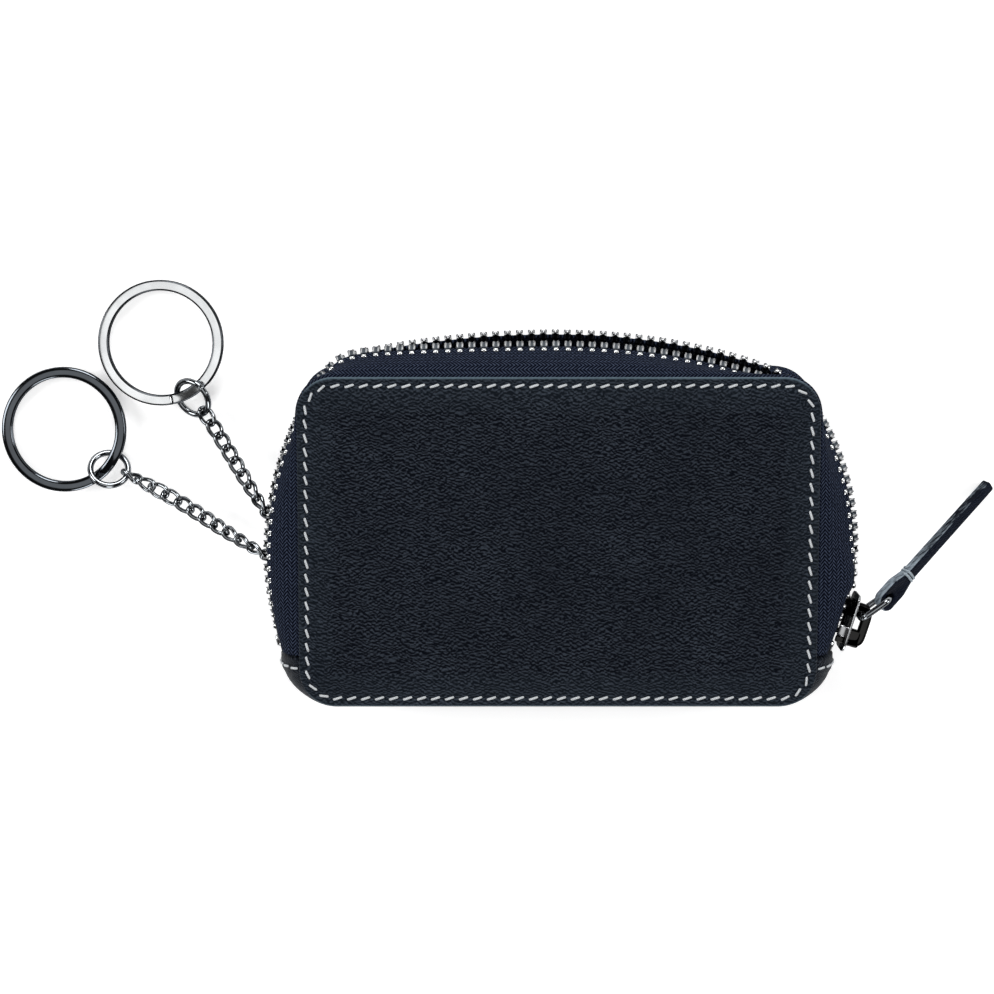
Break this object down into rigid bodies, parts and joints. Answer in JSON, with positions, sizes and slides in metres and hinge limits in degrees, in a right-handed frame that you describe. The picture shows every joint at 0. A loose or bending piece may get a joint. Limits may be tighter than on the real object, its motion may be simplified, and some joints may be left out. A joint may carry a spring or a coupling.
{
  "type": "key case",
  "caption": "Zip-around leather key case, opened, with split key rings on curb chains and a leather zip pull.",
  "frame": {"origin": "centre of the flat leather back, on the surface that the case lies on", "axes": "+X along the case to the slider's side, +Y to the zip's top edge, +Z out of the front panel"},
  "size_m": [0.1984, 0.0833, 0.022],
  "materials": {
    "navy_leather": "smooth-grain leather, near-black navy",
    "pull_leather": "two-layer navy leather with pale cut edges",
    "lining_fabric": "plain woven lining",
    "board": "fibre board",
    "zip_tape": "herringbone zip tape, navy",
    "zip_metal": "bright nickel plate",
    "slider_metal": "polished dark nickel",
    "ring_metal": "polished nickel"
  },
  "bodies": {
    "case_back": {"back_panel": "navy_leather", "back_board": "board", "back_lining": "lining_fabric", "back_zip_tape": "zip_tape", "back_zip_teeth": "zip_metal", "bottom_gusset": "navy_leather", "front_tape_end": "zip_tape", "front_teeth_end": "zip_metal", "zip_stop_right": "zip_metal", "zip_stop_left_back": "zip_metal", "anchor_tab": "navy_leather", "anchor_rivet": "slider_metal", "anchor_ring": "ring_metal"},
    "case_front": {"front_panel": "navy_leather", "front_board": "board", "front_lining": "lining_fabric", "front_zip_tape": "zip_tape", "front_zip_teeth": "zip_metal", "zip_stop_left_front": "zip_metal"},
    "slider": {"zip_slider": "slider_metal", "slider_bridge": "slider_metal"},
    "pull_link": {"pull_link": "slider_metal"},
    "pull_strap": {"pull_strap_top": "pull_leather", "pull_strap_under": "pull_leather"},
    "chain_a_01": {"chain_a_link_01": "ring_metal"},
    "chain_a_02": {"chain_a_link_02": "ring_metal"},
    "chain_a_03": {"chain_a_link_03": "ring_metal"},
    "chain_a_04": {"chain_a_link_04": "ring_metal"},
    "chain_a_05": {"chain_a_link_05": "ring_metal"},
    "chain_a_06": {"chain_a_link_06": "ring_metal"},
    "chain_a_07": {"chain_a_link_07": "ring_metal"},
    "chain_a_08": {"chain_a_link_08": "ring_metal"},
    "chain_a_09": {"chain_a_link_09": "ring_metal"},
    "chain_a_10": {"chain_a_link_10": "ring_metal"},
    "chain_a_11": {"chain_a_link_11": "ring_metal"},
    "chain_a_12": {"chain_a_link_12": "ring_metal"},
    "chain_a_13": {"chain_a_link_13": "ring_metal"},
    "jump_a": {"jump_ring_a": "ring_metal"},
    "key_a": {"key_ring_a": "ring_metal"},
    "chain_b_01": {"chain_b_link_01": "ring_metal"},
    "chain_b_02": {"chain_b_link_02": "ring_metal"},
    "chain_b_03": {"chain_b_link_03": "ring_metal"},
    "chain_b_04": {"chain_b_link_04": "ring_metal"},
    "chain_b_05": {"chain_b_link_05": "ring_metal"},
    "chain_b_06": {"chain_b_link_06": "ring_metal"},
    "chain_b_07": {"chain_b_link_07": "ring_metal"},
    "chain_b_08": {"chain_b_link_08": "ring_metal"},
    "chain_b_09": {"chain_b_link_09": "ring_metal"},
    "chain_b_10": {"chain_b_link_10": "ring_metal"},
    "chain_b_11": {"chain_b_link_11": "ring_metal"},
    "chain_b_12": {"chain_b_link_12": "ring_metal"},
    "chain_b_13": {"chain_b_link_13": "ring_metal"},
    "chain_b_14": {"chain_b_link_14": "ring_metal"},
    "chain_b_15": {"chain_b_link_15": "ring_metal"},
    "jump_b": {"jump_ring_b": "ring_metal"},
    "key_b": {"key_ring_b": "ring_metal"}
  },
  "joints": [
    {"name": "cover_open", "type": "hinge", "parent": "case_back", "child": "case_front", "pos_m": [0, -0.0225, 0.011], "axis": [1, 0, 0], "range_deg": [0, 50], "deforming": ["bottom_gusset"]},
    {"name": "slider_travel", "type": "hinge", "parent": "case_back", "child": "slider", "pos_m": [0.0086, -0.002, 0.011], "axis": [0, 0, 1], "range_deg": [0, 35]},
    {"name": "pull_link_swing", "type": "hinge", "parent": "slider", "child": "pull_link", "pos_m": [0.06015, -0.01639, 0.011], "axis": [0, 0, 1], "range_deg": [-75, 25]},
    {"name": "pull_strap_swing", "type": "hinge", "parent": "pull_link", "child": "pull_strap", "pos_m": [0.06569, -0.01244, 0.011], "axis": [0, 0, 1], "range_deg": [-35, 15]},
    {"name": "chain_a_01_turn", "type": "hinge", "parent": "case_back", "child": "chain_a_01", "pos_m": [-0.0478, -0.00412, 0.00409], "axis": [0, 0, -1], "range_deg": [0, 3]},
    {"name": "chain_a_02_lift", "type": "hinge", "parent": "chain_a_01", "child": "chain_a_02", "pos_m": [-0.04989, -0.00299, 0.00601], "axis": [0.5449, 0.8385, 0], "range_deg": [0, 3]},
    {"name": "chain_a_03_turn", "type": "hinge", "parent": "chain_a_02", "child": "chain_a_03", "pos_m": [-0.052, -0.00162, 0.00773], "axis": [0, 0, -1], "range_deg": [0, 3]},
    {"name": "chain_a_04_lift", "type": "hinge", "parent": "chain_a_03", "child": "chain_a_04", "pos_m": [-0.05411, 0.00012, 0.00908], "axis": [0.7297, 0.6838, 0], "range_deg": [0, 3]},
    {"name": "chain_a_05_turn", "type": "hinge", "parent": "chain_a_04", "child": "chain_a_05", "pos_m": [-0.05611, 0.00226, 0.00992], "axis": [0, 0, -1], "range_deg": [0, 3]},
    {"name": "chain_a_06_lift", "type": "hinge", "parent": "chain_a_05", "child": "chain_a_06", "pos_m": [-0.05788, 0.00473, 0.01007], "axis": [0.8329, 0.5534, 0], "range_deg": [0, 14]},
    {"name": "chain_a_07_turn", "type": "hinge", "parent": "chain_a_06", "child": "chain_a_07", "pos_m": [-0.05955, 0.00723, 0.00955], "axis": [0, 0, -1], "range_deg": [0, 4]},
    {"name": "chain_a_08_lift", "type": "hinge", "parent": "chain_a_07", "child": "chain_a_08", "pos_m": [-0.06115, 0.00964, 0.00859], "axis": [0.8329, 0.5534, 0], "range_deg": [0, 14]},
    {"name": "chain_a_09_turn", "type": "hinge", "parent": "chain_a_08", "child": "chain_a_09", "pos_m": [-0.0627, 0.01197, 0.00738], "axis": [0, 0, -1], "range_deg": [0, 4]},
    {"name": "chain_a_10_lift", "type": "hinge", "parent": "chain_a_09", "child": "chain_a_10", "pos_m": [-0.06423, 0.01427, 0.00608], "axis": [0.8329, 0.5534, 0], "range_deg": [0, 14]},
    {"name": "chain_a_11_turn", "type": "hinge", "parent": "chain_a_10", "child": "chain_a_11", "pos_m": [-0.06576, 0.01659, 0.00482], "axis": [0, 0, -1], "range_deg": [0, 4]},
    {"name": "chain_a_12_lift", "type": "hinge", "parent": "chain_a_11", "child": "chain_a_12", "pos_m": [-0.06734, 0.01896, 0.00374], "axis": [0.8329, 0.5534, 0], "range_deg": [0, 14]},
    {"name": "chain_a_13_turn", "type": "hinge", "parent": "chain_a_12", "child": "chain_a_13", "pos_m": [-0.06898, 0.02143, 0.00302], "axis": [0, 0, -1], "range_deg": [0, 4]},
    {"name": "jump_a_lift", "type": "hinge", "parent": "chain_a_13", "child": "jump_a", "pos_m": [-0.07067, 0.02397, 0.00285], "axis": [0.8329, 0.5534, 0], "range_deg": [0, 14]},
    {"name": "key_ring_a_flip", "type": "hinge", "parent": "jump_a", "child": "key_a", "pos_m": [-0.07324, 0.02745, 0.00244], "axis": [0.8669, 0.4985, 0], "range_deg": [0, 80]},
    {"name": "chain_b_01_turn", "type": "hinge", "parent": "case_back", "child": "chain_b_01", "pos_m": [-0.0485, -0.00722, 0.00405], "axis": [0, 0, 1], "range_deg": [0, 3]},
    {"name": "chain_b_02_lift", "type": "hinge", "parent": "chain_b_01", "child": "chain_b_02", "pos_m": [-0.05059, -0.00681, 0.00623], "axis": [0.2566, 0.9665, 0], "range_deg": [0, 3]},
    {"name": "chain_b_03_turn", "type": "hinge", "parent": "chain_b_02", "child": "chain_b_03", "pos_m": [-0.05288, -0.0062, 0.00816], "axis": [0, 0, 1], "range_deg": [0, 3]},
    {"name": "chain_b_04_lift", "type": "hinge", "parent": "chain_b_03", "child": "chain_b_04", "pos_m": [-0.05542, -0.00528, 0.00957], "axis": [0.4316, 0.9021, 0], "range_deg": [0, 3]},
    {"name": "chain_b_05_turn", "type": "hinge", "parent": "chain_b_04", "child": "chain_b_05", "pos_m": [-0.05813, -0.00398, 0.0101], "axis": [0, 0, 1], "range_deg": [0, 8]},
    {"name": "chain_b_06_lift", "type": "hinge", "parent": "chain_b_05", "child": "chain_b_06", "pos_m": [-0.06079, -0.00254, 0.00975], "axis": [0.4772, 0.8788, 0], "range_deg": [0, 8]},
    {"name": "chain_b_07_turn", "type": "hinge", "parent": "chain_b_06", "child": "chain_b_07", "pos_m": [-0.06336, -0.00114, 0.00888], "axis": [0, 0, 1], "range_deg": [0, 8]},
    {"name": "chain_b_08_lift", "type": "hinge", "parent": "chain_b_07", "child": "chain_b_08", "pos_m": [-0.06584, 0.0002, 0.00772], "axis": [0.4772, 0.8788, 0], "range_deg": [0, 8]},
    {"name": "chain_b_09_turn", "type": "hinge", "parent": "chain_b_08", "child": "chain_b_09", "pos_m": [-0.06827, 0.00152, 0.00644], "axis": [0, 0, 1], "range_deg": [0, 8]},
    {"name": "chain_b_10_lift", "type": "hinge", "parent": "chain_b_09", "child": "chain_b_10", "pos_m": [-0.07071, 0.00284, 0.00516], "axis": [0.4772, 0.8788, 0], "range_deg": [0, 8]},
    {"name": "chain_b_11_turn", "type": "hinge", "parent": "chain_b_10", "child": "chain_b_11", "pos_m": [-0.07319, 0.00419, 0.00401], "axis": [0, 0, 1], "range_deg": [0, 8]},
    {"name": "chain_b_12_lift", "type": "hinge", "parent": "chain_b_11", "child": "chain_b_12", "pos_m": [-0.07576, 0.00559, 0.00317], "axis": [0.4772, 0.8788, 0], "range_deg": [0, 8]},
    {"name": "chain_b_13_turn", "type": "hinge", "parent": "chain_b_12", "child": "chain_b_13", "pos_m": [-0.07843, 0.00704, 0.00285], "axis": [0, 0, 1], "range_deg": [0, 8]},
    {"name": "chain_b_14_lift", "type": "hinge", "parent": "chain_b_13", "child": "chain_b_14", "pos_m": [-0.08111, 0.00849, 0.00285], "axis": [0.4772, 0.8788, 0], "range_deg": [0, 8]},
    {"name": "chain_b_15_turn", "type": "hinge", "parent": "chain_b_14", "child": "chain_b_15", "pos_m": [-0.08379, 0.00995, 0.00285], "axis": [0, 0, 1], "range_deg": [0, 8]},
    {"name": "jump_b_lift", "type": "hinge", "parent": "chain_b_15", "child": "jump_b", "pos_m": [-0.08647, 0.01141, 0.00285], "axis": [0.4772, 0.8788, 0], "range_deg": [0, 8]},
    {"name": "key_ring_b_flip", "type": "hinge", "parent": "jump_b", "child": "key_b", "pos_m": [-0.09002, 0.01247, 0.00244], "axis": [0.6561, 0.7547, 0], "range_deg": [0, 80]}
  ]
}
